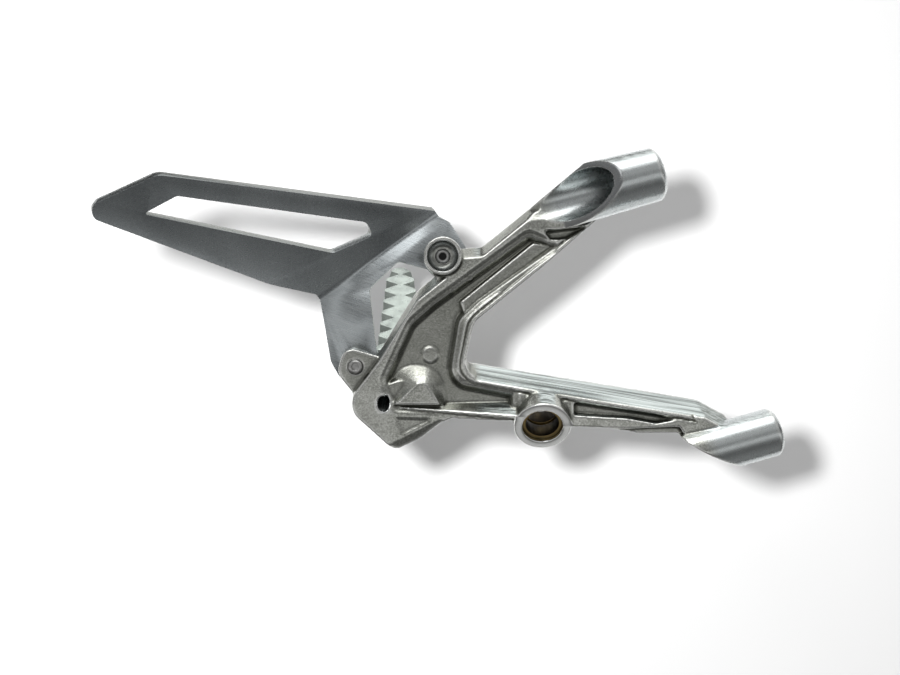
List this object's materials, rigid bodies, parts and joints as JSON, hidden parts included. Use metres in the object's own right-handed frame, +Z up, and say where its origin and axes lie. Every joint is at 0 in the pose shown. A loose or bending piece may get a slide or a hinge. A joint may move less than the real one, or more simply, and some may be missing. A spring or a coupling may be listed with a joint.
{
  "type": "motorcycle footrest hanger",
  "caption": "Cast motorcycle footrest hanger with tubular bolt arms, a folded heel guard, a bushed pedal bore and a folding serrated footpeg.",
  "frame": {"origin": "on the axis of the pedal bore, at the inboard end of its inner bush", "axes": "+X forward along the motorcycle, +Y outboard along the pedal bore and the footpeg, +Z up"},
  "size_m": [0.2835, 0.1177, 0.1251],
  "materials": {
    "cast_aluminium": "satin sand-cast skin, bright where it is machined",
    "brushed_sheet": "dark brushed lengthways",
    "peg_aluminium": "bright satin, cut teeth",
    "steel": "plain zinc",
    "bronze": "plain turned, oily"
  },
  "bodies": {
    "hanger": {"hanger_casting": "cast_aluminium", "heel_guard": "brushed_sheet", "upper_guard_screw": "steel", "lower_guard_screw": "steel", "inner_pivot_bush": "bronze", "outer_pivot_bush": "bronze", "peg_pin": "steel", "pin_clip": "steel", "peg_spring": "steel"},
    "peg": {"footpeg": "peg_aluminium"}
  },
  "joints": [
    {"name": "peg_fold", "type": "hinge", "parent": "hanger", "child": "peg", "pos_m": [-0.061, 0.0292, 0.0021], "axis": [1, 0, 0], "range_deg": [0, 50], "stiffness_Nm_per_rad": 0.15, "springref_deg": -28.65}
  ]
}
